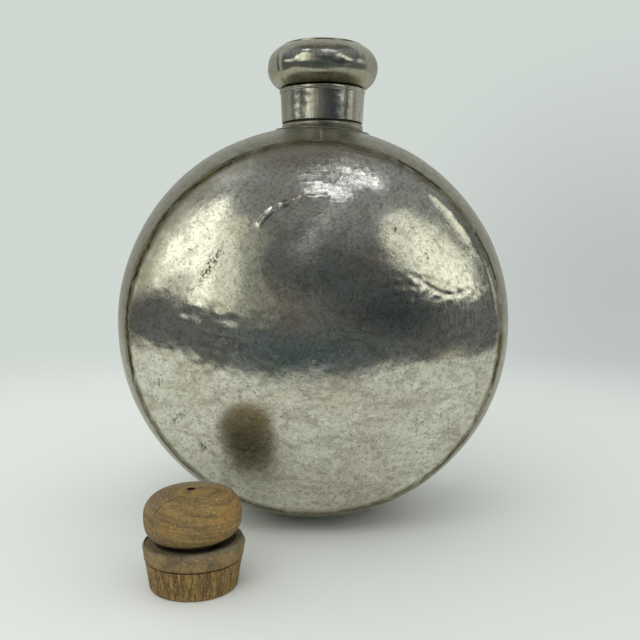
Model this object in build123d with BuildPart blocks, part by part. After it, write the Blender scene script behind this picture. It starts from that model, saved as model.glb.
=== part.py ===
from build123d import *
import os
from math import acos, asin, atan2, cos, degrees, hypot, radians, sin, sqrt

# A large round pilgrim flask of tinned brass sheet, standing on its rim, with its turned wooden stopper
# taken out and standing in front of it. Lengths are in millimetres. The origin is the middle of the
# flask's flat foot, +Z is up, and the flask's front face looks along -Y.
#
# The body is a drum on its side: two dished faces and a rounded band between them, brazed along cramped
# seams, where tabs of the face and tabs of the band take turns. The band's two ends meet on top, under
# the neck. The neck is a tube through a hole in the band, with a saddle plate and a ring round its root,
# a collar over it, a bead, and a hollow bulb that carries the ring of the mouth.

# Body
body_radius = 160.0  # outermost, on the middle of the band
body_half_depth = 118.0  # from the middle of the band to the middle of a face
crown_radius = 290.0  # the crown of a face
shoulder_radius = 16.0  # where a face turns over towards the band
band_crown_radius = 170.0  # the band's own rounding across its width
sheet = 1.0  # thickness of faces, band and bulb
foot_depth = 3.0  # how far the foot is beaten in from the round

# Cramped seams
seam_share = 0.07  # how far over the shoulder a seam runs, from the band's side
tab_count = 11  # tabs of a face, each followed by a tab of the band
tab_height = 2.4  # from the inner to the outer run of the seam
tab_flank_length = 5.0  # each slanting run between them
front_seam_turn = 0.5  # degrees round the axis, where the first tab starts
back_seam_turn = 17.0
seam_gap = 0.4  # between a face's edge and the band's edge, filled with braze
seam_lap = 1.1  # how far the braze spreads over the sheet on each side
seam_rise = 0.6  # how far the braze stands above the sheet

# Joint of the band's two ends, on top
joint_offset = 4.7  # to the right of the body's middle
joint_gap = 0.4
joint_lap = 0.8
joint_rise = 0.3

# Neck
neck_offset = 6.6  # the neck stands a little to the right of the body's middle
neck_bore_radius = 31.0
neck_sheet = 1.0
tube_reach = 9.0  # how far the tube runs down into the body, from the band's highest point
tube_rise = 2.2  # how far the tube runs up inside the bulb, from its underside
saddle_radius = 38.5
saddle_sheet = 0.8
root_ring_wall = 1.0
collar_lift = 3.2  # the collar's lower edge above the band's highest point
collar_gap = 0.6  # the dark line between the root ring and the collar
collar_height = 23.4
collar_foot_wall = 1.3
collar_head_wall = 2.3
collar_rounding = 0.4
bead_height = 3.4
bead_wall = 3.1
bulb_radius = 45.4  # outermost
bulb_section_radius = 17.5  # of the bulb's round wall, seen from the side
mouth_ring_wall = 2.0
mouth_ring_height = 5.0
mouth_ring_rise = 1.2  # above the bulb's upper edge
mouth_ring_rounding = 0.7

# Stopper, turned from one billet of wood
stopper_left = 79.5  # where it stands: to the left of the body's middle, and in front of it
stopper_front = 164.7
plug_entry = 1.9  # the plug's foot is this much smaller than the mouth's bore, all round
plug_wedge = 0.8  # and its head this much larger, so that it wedges
plug_height = 19.8
plug_rounding = 1.2
flange_ledge = 0.5  # the flange's lower edge stands out from the plug
flange_radius = 34.4
flange_height = 11.2
flange_rounding = 3.0
flange_dish = 2.0  # the flange's top slopes down to the waist
knob_radius = 32.4
knob_lift = 0.8  # the knob's underside above the flange's upper edge
knob_rim_radius = 13.5  # of the knob's rounded edge, seen from the side
knob_band_height = 4.0  # the straight stretch in the middle of that edge
knob_crown_radius = 150.0  # the nearly flat top
knob_lean = 2.6  # degrees to the left
knob_hole_radius = 2.6
knob_hole_depth = 9.0

# How far a cutting block runs past what it cuts
overrun = 5.0


def shoulder_centre():
    """Radius and depth of the shoulder arc's centre. The arc touches the band's arc and the crown's."""
    to_band = band_crown_radius - shoulder_radius
    to_crown = crown_radius - shoulder_radius
    apart = hypot(band_centre, crown_centre)
    along = (to_band**2 - to_crown**2 + apart**2) / (2 * apart)
    aside = sqrt(to_band**2 - along**2)
    along_radius = -band_centre / apart
    along_depth = crown_centre / apart
    radius = band_centre + along * along_radius - aside * along_depth
    depth = along * along_depth + aside * along_radius
    return radius, depth


# The body's section: how far the centres of its arcs lie from its axis and its middle plane, and the
# angles at which one arc gives way to the next
band_centre = body_radius - band_crown_radius
crown_centre = body_half_depth - crown_radius
shoulder_place, shoulder_depth = shoulder_centre()
band_turn = degrees(atan2(shoulder_depth, shoulder_place - band_centre))
crown_turn = degrees(atan2(shoulder_depth - crown_centre, shoulder_place))
shoulder_turn = crown_turn - band_turn
seam_radius = shoulder_place + shoulder_radius * cos(radians(band_turn + seam_share * shoulder_turn))

# Places that follow from the sizes above
body_height = body_radius - foot_depth
band_top = body_height + body_radius
tube_radius = neck_bore_radius + neck_sheet
collar_foot = band_top + collar_lift
collar_head = collar_foot + collar_height
bead_head = collar_head + bead_height
mouth_ring_radius = neck_bore_radius + mouth_ring_wall
bulb_section_offset = bulb_radius - bulb_section_radius
bulb_height = bead_head + sqrt(bulb_section_radius**2 - (tube_radius - bulb_section_offset) ** 2)
bulb_head = bulb_height + sqrt(bulb_section_radius**2 - (mouth_ring_radius - bulb_section_offset) ** 2)
mouth = bulb_head + mouth_ring_rise

body_axis = Axis((0, 0, body_height), (0, 1, 0))
front_plane = Plane(origin=(0, 0, body_height), x_dir=(1, 0, 0), z_dir=(0, -1, 0))
back_plane = Plane(origin=(0, 0, body_height), x_dir=(-1, 0, 0), z_dir=(0, 1, 0))
neck_axis = Axis((neck_offset, 0, 0), (0, 0, 1))
neck_plane = Plane(origin=(neck_offset, 0, 0), x_dir=(1, 0, 0), z_dir=(0, -1, 0))


def body_solid(grow=0.0):
    """The whole body as one solid, its skin moved out by grow, with its foot flat."""
    shoulder = shoulder_radius + grow
    with BuildPart() as solid:
        with BuildSketch(Plane.XY.offset(body_height)):
            with BuildLine():
                CenterArc((0, -crown_centre), crown_radius + grow, -90, 90 - crown_turn)
                CenterArc((shoulder_place, -shoulder_depth), shoulder, -crown_turn, shoulder_turn)
                CenterArc((band_centre, 0), band_crown_radius + grow, -band_turn, 2 * band_turn)
                CenterArc((shoulder_place, shoulder_depth), shoulder, band_turn, shoulder_turn)
                CenterArc((0, crown_centre), crown_radius + grow, crown_turn, 90 - crown_turn)
                Line((0, body_half_depth + grow), (0, -body_half_depth - grow))
            make_face()
        revolve(axis=body_axis)
        split(bisect_by=Plane.XY.offset(-grow), keep=Keep.TOP)
    return solid.part


def seam_prism(plane, turn, grow):
    """What lies inside a seam's outline, moved out by grow, from the body's middle out past the face."""
    pitch = 360 / tab_count
    run = pitch / 2 - degrees(tab_flank_length / seam_radius)
    outer = seam_radius + tab_height / 2 + grow
    inner = seam_radius - tab_height / 2 + grow
    with BuildPart() as prism:
        with BuildSketch(plane):
            with BuildLine():
                for number in range(tab_count):
                    start = turn + number * pitch
                    following = radians(start + pitch)
                    tab = CenterArc((0, 0), outer, start, run)
                    notch = CenterArc((0, 0), inner, start + pitch / 2, run)
                    Line(tab @ 1, notch @ 0)
                    Line(notch @ 1, (outer * cos(following), outer * sin(following)))
            make_face()
        extrude(amount=body_half_depth + overrun)
    return prism.part


def neck_bar(radius):
    """A round bar on the neck's axis, from the body's middle up past the band."""
    with BuildPart() as bar:
        with BuildSketch(Plane.XY.offset(body_height)):
            with Locations((neck_offset, 0)):
                Circle(radius)
        extrude(amount=body_radius + overrun)
    return bar.part


def joint_slab(side, half_width):
    """A thin upright slab along the joint of the band's ends. Side is -1 in front and 1 behind."""
    with BuildPart() as slab:
        with BuildSketch(Plane.XY.offset(body_height)):
            with Locations((joint_offset, side * body_half_depth / 2)):
                Rectangle(2 * half_width, body_half_depth)
        extrude(amount=body_radius + overrun)
    return slab.part


outer_body = body_solid()
inner_body = body_solid(-sheet)


def face_shell(plane, turn):
    """One dished face, cut out of the body's skin along its seam."""
    outline = seam_prism(plane, turn, 0)
    with BuildPart() as face:
        add(outline)
        add(outer_body, mode=Mode.INTERSECT)
        add(inner_body, mode=Mode.SUBTRACT)
    return face


def seam_braze(plane, turn, face, band):
    """The braze that fills one seam and stands a little above the sheet on both sides."""
    raised_body = body_solid(seam_rise)
    outline = seam_prism(plane, turn, seam_gap + seam_lap)
    inside = seam_prism(plane, turn, -seam_lap)
    with BuildPart() as braze:
        add(outline)
        add(inside, mode=Mode.SUBTRACT)
        add(raised_body, mode=Mode.INTERSECT)
        add(inner_body, mode=Mode.SUBTRACT)
        add(face.part, mode=Mode.SUBTRACT)
        add(band.part, mode=Mode.SUBTRACT)
    return braze


def joint_braze(side, plane, turn, band):
    """The braze in the joint of the band's ends, from the seam to the saddle plate."""
    raised_body = body_solid(joint_rise)
    slab = joint_slab(side, joint_gap / 2 + joint_lap)
    seam = seam_prism(plane, turn, seam_gap + seam_lap)
    neck_root = neck_bar(saddle_radius)
    with BuildPart() as braze:
        add(slab)
        add(seam, mode=Mode.SUBTRACT)
        add(neck_root, mode=Mode.SUBTRACT)
        add(raised_body, mode=Mode.INTERSECT)
        add(inner_body, mode=Mode.SUBTRACT)
        add(band.part, mode=Mode.SUBTRACT)
    return braze


# The two dished faces
front_shell = face_shell(front_plane, front_seam_turn)
back_shell = face_shell(back_plane, back_seam_turn)

# The band, a strip rolled round the rim, with the neck's hole across its joint
front_opening = seam_prism(front_plane, front_seam_turn, seam_gap)
back_opening = seam_prism(back_plane, back_seam_turn, seam_gap)
neck_hole = neck_bar(tube_radius)
with BuildPart() as side_band:
    add(outer_body)
    add(inner_body, mode=Mode.SUBTRACT)
    add(front_opening, mode=Mode.SUBTRACT)
    add(back_opening, mode=Mode.SUBTRACT)
    add(neck_hole, mode=Mode.SUBTRACT)
    add(joint_slab(-1, joint_gap / 2), mode=Mode.SUBTRACT)
    add(joint_slab(1, joint_gap / 2), mode=Mode.SUBTRACT)

# The braze in the two seams and in the band's joint
front_seam_braze = seam_braze(front_plane, front_seam_turn, front_shell, side_band)
back_seam_braze = seam_braze(back_plane, back_seam_turn, back_shell, side_band)
band_joint_braze_front = joint_braze(-1, front_plane, front_seam_turn, side_band)
band_joint_braze_back = joint_braze(1, back_plane, back_seam_turn, side_band)

# The saddle plate, dressed down on the band round the neck's root
plated_body = body_solid(saddle_sheet)
saddle_bar = neck_bar(saddle_radius)
with BuildPart() as neck_saddle:
    add(saddle_bar)
    add(neck_hole, mode=Mode.SUBTRACT)
    add(plated_body, mode=Mode.INTERSECT)
    add(outer_body, mode=Mode.SUBTRACT)

# The neck tube, through the band and up into the bulb
with BuildPart() as neck_tube:
    with BuildSketch(Plane.XY.offset(band_top - tube_reach)):
        with Locations((neck_offset, 0)):
            Circle(tube_radius)
            Circle(neck_bore_radius, mode=Mode.SUBTRACT)
    extrude(amount=tube_reach + bead_head + tube_rise - band_top)

# The ring round the tube's root, cut to sit on the saddle plate
with BuildPart() as neck_root_ring:
    with BuildSketch(Plane.XY.offset(collar_foot - collar_gap)):
        with Locations((neck_offset, 0)):
            Circle(tube_radius + root_ring_wall)
            Circle(tube_radius, mode=Mode.SUBTRACT)
    extrude(amount=-tube_reach)
    add(plated_body, mode=Mode.SUBTRACT)

# The collar, a sleeve over the tube that widens a little upwards
with BuildPart() as neck_collar:
    with BuildSketch(neck_plane) as collar_section:
        with BuildLine():
            Polyline(
                (tube_radius, collar_foot),
                (tube_radius + collar_foot_wall, collar_foot),
                (tube_radius + collar_head_wall, collar_head),
                (tube_radius, collar_head),
                close=True,
            )
        make_face()
        fillet(collar_section.vertices().group_by(Axis.Y)[0].sort_by(Axis.X)[-1], collar_rounding)
    revolve(axis=neck_axis)

# The bead between the collar and the bulb
with BuildPart() as neck_bead:
    with BuildSketch(neck_plane):
        with BuildLine():
            bead_edge = tube_radius + bead_wall - bead_height / 4
            crest = (tube_radius + bead_wall, (collar_head + bead_head) / 2)
            ThreePointArc((bead_edge, collar_head), crest, (bead_edge, bead_head))
            Line((bead_edge, bead_head), (tube_radius, bead_head))
            Line((tube_radius, bead_head), (tube_radius, collar_head))
            Line((tube_radius, collar_head), (bead_edge, collar_head))
        make_face()
    revolve(axis=neck_axis)


def bulb_arc(radius):
    """The section of one side of the bulb's wall, from the tube up to the mouth ring."""
    foot = degrees(acos((tube_radius - bulb_section_offset) / radius))
    head = degrees(acos((mouth_ring_radius - bulb_section_offset) / radius))
    return CenterArc((bulb_section_offset, bulb_height), radius, -foot, foot + head)


# The hollow bulb
with BuildPart() as mouth_bulb:
    with BuildSketch(neck_plane):
        with BuildLine():
            outside = bulb_arc(bulb_section_radius)
            inside = bulb_arc(bulb_section_radius - sheet)
            Line(outside @ 0, inside @ 0)
            Line(outside @ 1, inside @ 1)
        make_face()
    revolve(axis=neck_axis)

# The ring that stiffens the mouth
with BuildPart() as mouth_ring:
    with BuildSketch(neck_plane) as ring_section:
        with Locations((neck_bore_radius, mouth)):
            Rectangle(mouth_ring_wall, mouth_ring_height, align=(Align.MIN, Align.MAX))
        fillet(ring_section.vertices().group_by(Axis.Y)[-1], mouth_ring_rounding)
    revolve(axis=neck_axis)

# The stopper: a plug that fits the mouth, a flange, and a knob on a waist, which leans a little
plug_head_radius = neck_bore_radius + plug_wedge
waist_radius = knob_radius - knob_rim_radius
flange_head = plug_height + flange_height
stopper_spot = (-stopper_left, -stopper_front, 0)
stopper_plane = Plane(origin=stopper_spot, x_dir=(1, 0, 0), z_dir=(0, -1, 0))
lean_cos = cos(radians(knob_lean))
lean_sin = sin(radians(knob_lean))
knob_foot = (-stopper_left, -stopper_front, flange_head)
knob_plane = Plane(origin=knob_foot, x_dir=(lean_cos, 0, lean_sin), z_dir=(0, -1, 0))
lower_rim = knob_lift + knob_rim_radius
upper_rim = lower_rim + knob_band_height
crown_reach = knob_crown_radius - knob_rim_radius
crown_centre_height = upper_rim - sqrt(crown_reach**2 - waist_radius**2)
crown_spread = degrees(asin(waist_radius / crown_reach))

with BuildPart() as stopper:
    with BuildSketch(stopper_plane) as plug_section:
        with BuildLine():
            Polyline(
                (0, 0),
                (neck_bore_radius - plug_entry, 0),
                (plug_head_radius, plug_height),
                (plug_head_radius + flange_ledge, plug_height),
                (flange_radius, flange_head),
                (waist_radius - flange_dish, flange_head - flange_dish),
                (0, flange_head - flange_dish),
                close=True,
            )
        make_face()
        fillet(plug_section.vertices().group_by(Axis.Y)[0].sort_by(Axis.X)[-1], plug_rounding)
        fillet(plug_section.vertices().sort_by(Axis.X)[-1], flange_rounding)
    revolve(axis=Axis(stopper_spot, (0, 0, 1)))
    with BuildSketch(knob_plane):
        with BuildLine():
            CenterArc((waist_radius, lower_rim), knob_rim_radius, -90, 90)
            Line((knob_radius, lower_rim), (knob_radius, upper_rim))
            CenterArc((waist_radius, upper_rim), knob_rim_radius, 0, 90 - crown_spread)
            CenterArc((0, crown_centre_height), knob_crown_radius, 90 - crown_spread, crown_spread)
            Polyline(
                (0, crown_centre_height + knob_crown_radius),
                (0, -plug_height),
                (waist_radius, -plug_height),
                (waist_radius, knob_lift),
            )
        make_face()
    revolve(axis=Axis(knob_foot, (-lean_sin, 0, lean_cos)))
    knob_top = crown_centre_height + knob_crown_radius
    knob_top_plane = Plane(knob_foot, x_dir=(lean_cos, 0, lean_sin), z_dir=(-lean_sin, 0, lean_cos))
    with Locations(knob_top_plane.offset(knob_top)):
        Hole(knob_hole_radius, knob_hole_depth)

pieces = {
    "front_shell": front_shell,
    "back_shell": back_shell,
    "side_band": side_band,
    "front_seam_braze": front_seam_braze,
    "back_seam_braze": back_seam_braze,
    "band_joint_braze_front": band_joint_braze_front,
    "band_joint_braze_back": band_joint_braze_back,
    "neck_saddle": neck_saddle,
    "neck_root_ring": neck_root_ring,
    "neck_tube": neck_tube,
    "neck_collar": neck_collar,
    "neck_bead": neck_bead,
    "mouth_bulb": mouth_bulb,
    "mouth_ring": mouth_ring,
    "stopper": stopper,
}
os.makedirs("parts", exist_ok=True)
for name, piece in pieces.items():
    piece.part.label = name
    export_step(piece.part, f"parts/{name}.step")
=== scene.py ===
from math import acos, asin, atan2, cos, degrees, hypot, pi, radians, sin, sqrt

import bpy
import numpy as np
from mathutils import Matrix, Vector


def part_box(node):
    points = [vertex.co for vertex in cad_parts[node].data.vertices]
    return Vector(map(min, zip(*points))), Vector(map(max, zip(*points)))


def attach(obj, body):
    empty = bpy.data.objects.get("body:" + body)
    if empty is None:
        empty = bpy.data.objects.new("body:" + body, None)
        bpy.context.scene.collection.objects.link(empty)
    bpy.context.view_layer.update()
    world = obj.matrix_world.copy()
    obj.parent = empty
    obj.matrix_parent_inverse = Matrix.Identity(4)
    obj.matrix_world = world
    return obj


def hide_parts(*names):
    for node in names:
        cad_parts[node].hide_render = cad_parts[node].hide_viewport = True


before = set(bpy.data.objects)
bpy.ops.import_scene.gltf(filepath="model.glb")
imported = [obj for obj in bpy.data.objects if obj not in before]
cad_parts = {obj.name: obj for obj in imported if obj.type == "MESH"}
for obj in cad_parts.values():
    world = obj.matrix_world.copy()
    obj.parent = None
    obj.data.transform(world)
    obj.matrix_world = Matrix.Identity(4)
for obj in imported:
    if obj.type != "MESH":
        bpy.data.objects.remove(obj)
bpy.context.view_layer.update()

# The looks of a round pilgrim flask of tinned brass sheet and of its turned wooden stopper. Everything is
# in metres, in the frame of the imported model: the origin is the middle of the flask's flat foot, +Z is up
# and the front face looks along -Y. Materials and tables of marks give lengths in millimetres.

mm = 0.001


def outer_radius(node):
    """Half the width of a turned node's box."""
    low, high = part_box(node)
    return (high[0] - low[0]) / 2


# Body, from the model's boxes and the radii of its section
body_radius = outer_radius("side_band")
body_half_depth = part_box("back_shell")[1][1]
foot_depth = 3 * mm
body_height = body_radius - foot_depth
crown_radius = 290 * mm
shoulder_radius = 16 * mm
band_crown_radius = 170 * mm
sheet = 1 * mm
beaten_reach = 130 * mm  # how far out the faces have hammer marks

# Seams: tabs of the face and of the band take turns, lapping over each other a little
seam_share = 0.07
tab_count = 11
tab_step = 0.8 * mm
tab_flank_share = 0.06
tab_lap = 0.25 * mm
lap_reach = 5 * mm
front_seam_turn = 0.5
back_seam_turn = 17.0
seam_gap = 0.8 * mm
braze_foot = -1.6 * mm  # how deep the braze goes into the gap

# Joint of the band's ends
joint_offset = 4.7 * mm
joint_start = 33 * mm  # from the middle of the band, under the saddle plate

# Neck
neck_low, neck_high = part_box("neck_saddle")
neck_offset = (neck_low[0] + neck_high[0]) / 2
saddle_radius = outer_radius("neck_saddle")
neck_bore_radius = 31 * mm
tube_radius = 32 * mm
bulb_radius = outer_radius("mouth_bulb")
bulb_section_radius = 17.5 * mm
slip = 0.05 * mm  # between the tube and what sits on it
mouth_rounding = 0.7 * mm
bead_rounding = 0.85 * mm

# Stopper
stopper_spot = (-79.5 * mm, -164.7 * mm)
plug_foot_radius = 29.1 * mm
plug_head_radius = 31.8 * mm
plug_height = 19.8 * mm
plug_rounding = 1.6 * mm
flange_ledge = 0.5 * mm
flange_skin = outer_radius("stopper")
flange_height = 11.2 * mm
flange_rounding = 3 * mm
flange_dish = 2 * mm
knob_radius = 32.4 * mm
knob_lift = 0.8 * mm
knob_rim_radius = 13.5 * mm
knob_band_height = 4 * mm
knob_crown_radius = 150 * mm
knob_lean = radians(2.6)
knob_hole_radius = 2.6 * mm
knob_hole_depth = 9 * mm

# Camera, worked out from the outlines in the photograph
camera_spot = Vector((-6.74 * mm, -684 * mm, 227 * mm))
camera_yaw = radians(1.02)
camera_pitch = radians(5.74)
camera_roll = radians(0.27)
focal_pixels = 816
frame_pixels = 640
sensor_width = 36

# Floor and light
floor_reach = 1.6
floor_front = -0.432  # where the floor ends in the metal
key_size = 1.4
key_energy = 7
key_spot = Vector((-0.5, -1.3, 1.5))
key_aim = Vector((0, 0, 0.1))


# The body's section, as one curve from the middle of the band to the middle of a face

band_centre = body_radius - band_crown_radius
crown_centre = body_half_depth - crown_radius


def shoulder_arc():
    """Radius and depth of the shoulder's centre, and the angles at which it meets the band and the crown."""
    to_band = band_crown_radius - shoulder_radius
    to_crown = crown_radius - shoulder_radius
    apart = hypot(band_centre, crown_centre)
    along = (to_band**2 - to_crown**2 + apart**2) / (2 * apart)
    aside = sqrt(to_band**2 - along**2)
    radius = band_centre - (along * band_centre + aside * crown_centre) / apart
    depth = (along * crown_centre - aside * band_centre) / apart
    return radius, depth, atan2(depth, radius - band_centre), atan2(depth - crown_centre, radius)


shoulder_place, shoulder_depth, band_turn, crown_turn = shoulder_arc()
band_run = band_crown_radius * band_turn
shoulder_run = band_run + shoulder_radius * (crown_turn - band_turn)
whole_run = shoulder_run + crown_radius * (pi / 2 - crown_turn)
seam_run = band_run + seam_share * (shoulder_run - band_run)
seam_radius = shoulder_place + shoulder_radius * cos(band_turn + seam_share * (crown_turn - band_turn))


def section(run):
    """Radius, depth and the normal's angle at a distance along the section, for an array of distances."""
    size = np.abs(run)
    spread = [size < band_run, (size >= band_run) & (size < shoulder_run)]
    angle = np.select(
        spread,
        [size / band_crown_radius, band_turn + (size - band_run) / shoulder_radius],
        crown_turn + (size - shoulder_run) / crown_radius,
    )
    reach = np.select(spread, [band_crown_radius, shoulder_radius], crown_radius)
    radius = np.select(spread, [band_centre, shoulder_place], 0.0) + reach * np.cos(angle)
    depth = np.select(spread, [0.0, shoulder_depth], crown_centre) + reach * np.sin(angle)
    side = np.sign(run)
    return radius, depth * side, angle * side


def on_body(turn, run, lift):
    """Points of the body's skin at an angle round the axis and a run along the section, lifted by lift.
    A positive run lies in front, on the -Y side."""
    radius, depth, angle = section(run)
    radius = radius + lift * np.cos(angle)
    depth = depth + lift * np.sin(angle)
    return np.stack([radius * np.cos(turn), -depth, body_height + radius * np.sin(turn)], -1)


def turn_back(points):
    """Points of the front carried half a turn round the upright axis, to the back."""
    return points * np.array([-1, -1, 1])


# Smooth random fields and masks

def ripples(places, wavelength, seed, count=28):
    """A smooth random field of about unit size over places, made of plane waves near one wavelength."""
    rng = np.random.default_rng(seed)
    field = np.zeros(places.shape[:-1])
    for _ in range(count):
        heading = rng.normal(size=places.shape[-1])
        heading /= np.linalg.norm(heading)
        pace = 2 * pi / (wavelength * rng.uniform(0.7, 1.5))
        field += np.cos(places @ heading * pace + rng.uniform(0, 2 * pi))
    return field * sqrt(2 / count)


def step_up(value, low, high):
    """0 below low, 1 above high, and a smooth rise between them."""
    share = np.clip((value - low) / (high - low), 0, 1)
    return share * share * (3 - 2 * share)


def degrees_apart(turn, place):
    """The least angle between turn and place, in degrees."""
    return np.abs((turn - place + 180) % 360 - 180)


def dent(across, upwards, spot, size, turn, lift):
    """A smooth bump of height lift at spot, size long and wide, its length turned from the X axis."""
    along = (across - spot[0]) * cos(radians(turn)) + (upwards - spot[1]) * sin(radians(turn))
    aside = (upwards - spot[1]) * cos(radians(turn)) - (across - spot[0]) * sin(radians(turn))
    return lift * np.exp(-((along / size[0]) ** 2) - (aside / size[1]) ** 2)


def crease(across, upwards, path, width, lift):
    """A smooth and uneven ridge of height lift along a path of points."""
    best = np.full(across.shape, np.inf)
    for start, end in zip(path[:-1], path[1:]):
        leg = (end[0] - start[0], end[1] - start[1])
        beside, above = across - start[0], upwards - start[1]
        share = np.clip((beside * leg[0] + above * leg[1]) / (leg[0] ** 2 + leg[1] ** 2), 0, 1)
        best = np.minimum(best, np.hypot(beside - share * leg[0], above - share * leg[1]))
    uneven = 1 + 0.28 * ripples(np.stack([across, upwards], -1), 9 * mm, 8)
    return lift * uneven * np.exp(-((best / width) ** 2))


def beaten(across, upwards, seed, count):
    """Shallow hammer marks scattered over a face."""
    rng = np.random.default_rng(seed)
    field = np.zeros(across.shape)
    for _ in range(count):
        radius, turn = beaten_reach * sqrt(rng.uniform()), rng.uniform(0, 2 * pi)
        spot = (radius * cos(turn), radius * sin(turn))
        size = rng.uniform(3, 8) * mm
        lift = size * rng.uniform(-0.010, 0.007)
        field += dent(across, upwards, spot, (size * rng.uniform(1, 2), size), rng.uniform(0, 180), lift)
    return field


# Meshes

def new_object(name, points, faces, material):
    """A smooth shaded mesh object with one material."""
    mesh = bpy.data.meshes.new(name)
    mesh.from_pydata(np.reshape(points, (-1, 3)).tolist(), [], faces)
    mesh.shade_smooth()
    mesh.materials.append(material)
    made = bpy.data.objects.new(name, mesh)
    bpy.context.scene.collection.objects.link(made)
    return made


def grid_faces(rows, columns, closed_rows=False, closed_columns=False, flip=False):
    """Quads over a grid of rows by columns. Closed joins the last one to the first."""
    row, column = np.meshgrid(
        np.arange(rows if closed_rows else rows - 1),
        np.arange(columns if closed_columns else columns - 1),
        indexing="ij",
    )
    this_row, next_row = row * columns, (row + 1) % rows * columns
    next_column = (column + 1) % columns
    corners = [this_row + column, this_row + next_column, next_row + next_column, next_row + column]
    quads = np.stack(corners, -1).reshape(-1, 4)
    return (quads[:, ::-1] if flip else quads).tolist()


def add_thickness(piece):
    """Gives an open skin the sheet's thickness, inwards."""
    thicken = piece.modifiers.new("sheet", "SOLIDIFY")
    thicken.thickness = sheet
    thicken.offset = -1


def full_turn(count):
    """Angles all the way round, without the last one."""
    return np.linspace(0, 2 * pi, count, endpoint=False)


def turned_ring(name, profile, material, warp, segments=360):
    """A ring turned round the neck's axis. profile is a closed list of (radius, height), and warp says how
    far out each point moves, from its angle, radius and height."""
    profile = np.array(profile)
    turn = full_turn(segments)[:, None] + 0 * profile[None, :, 0]
    radius, height = profile[None, :, 0] + 0 * turn, profile[None, :, 1] + 0 * turn
    radius = radius + warp(turn, radius, height)
    points = np.stack([neck_offset + radius * np.cos(turn), radius * np.sin(turn), height], -1)
    faces = grid_faces(segments, len(profile), closed_rows=True, closed_columns=True)
    return new_object(name, points, faces, material)


def arc(centre, radius, start, end, steps):
    """Points of an arc in a section, angles in degrees."""
    angles = np.radians(np.linspace(start, end, steps))
    return [(centre[0] + radius * cos(a), centre[1] + radius * sin(a)) for a in angles]


def line(start, end, steps):
    """Points along a straight line, without its last one."""
    return [tuple(np.array(start) + (np.array(end) - np.array(start)) * k / steps) for k in range(steps)]


# Materials

class Nodes:
    """A node tree under construction. A mask and a share are from 0 to 1."""

    def add(self, kind, inputs=None, **settings):
        """A new node. An input is a value, or a socket to link from."""
        made = self.tree.nodes.new(kind)
        for key, value in settings.items():
            setattr(made, key, value)
        for key, value in (inputs or {}).items():
            self.put(made.inputs[key], value)
        return made

    def put(self, socket, value):
        """Links value to a socket if it is one, and sets it otherwise."""
        if isinstance(value, bpy.types.NodeSocket):
            self.tree.links.new(value, socket)
        else:
            socket.default_value = value

    def calc(self, operation, first, second=0.0, third=0.0):
        """A math node's result."""
        return self.add("ShaderNodeMath", {0: first, 1: second, 2: third}, operation=operation).outputs[0]

    def vector(self, operation, first, second):
        """A vector math node's result."""
        return self.add("ShaderNodeVectorMath", {0: first, 1: second}, operation=operation).outputs[0]

    def length(self, value):
        """The length of a vector."""
        return self.add("ShaderNodeVectorMath", {0: value}, operation="LENGTH").outputs["Value"]

    def join(self, x, y, z):
        """A vector of three values."""
        return self.add("ShaderNodeCombineXYZ", {0: x, 1: y, 2: z}).outputs[0]

    def split(self, places):
        """The three values of a vector."""
        return self.add("ShaderNodeSeparateXYZ", {0: places}).outputs

    def times(self, first, *others):
        """The product of some values."""
        for value in others:
            first = self.calc("MULTIPLY", first, value)
        return first

    def most(self, first, *others):
        """The largest of some values."""
        for value in others:
            first = self.calc("MAXIMUM", first, value)
        return first

    def plus(self, start, value, share):
        """Start, and a share of value added to it."""
        return self.calc("MULTIPLY_ADD", value, share, start)

    def ramp(self, value, low, high, start=0.0, end=1.0):
        """Value from low to high, carried smoothly to start to end."""
        inputs = {"Value": value, "From Min": low, "From Max": high, "To Min": start, "To Max": end}
        return self.add("ShaderNodeMapRange", inputs, interpolation_type="SMOOTHSTEP").outputs[0]

    def mix(self, share, first, second):
        """Two colours mixed by share."""
        made = self.add("ShaderNodeMix", data_type="RGBA")
        self.put(made.inputs[0], share)
        self.put(made.inputs[6], (*first, 1) if isinstance(first, tuple) else first)
        self.put(made.inputs[7], (*second, 1) if isinstance(second, tuple) else second)
        return made.outputs[2]

    def coats(self, colour, *coats):
        """A colour under coats of (mask, share, colour), or (noise, low, high, share, colour)."""
        for *mask, share, coat in coats:
            covered = self.times(mask[0], share) if len(mask) == 1 else self.ramp(*mask, 0, share)
            colour = self.mix(covered, colour, coat)
        return colour

    def polar(self, first, second):
        """The distance from an axis, and the two parts of the direction away from it."""
        radius = self.calc("SQRT", self.plus(self.times(second, second), first, first))
        return radius, self.calc("DIVIDE", first, radius), self.calc("DIVIDE", second, radius)


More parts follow.
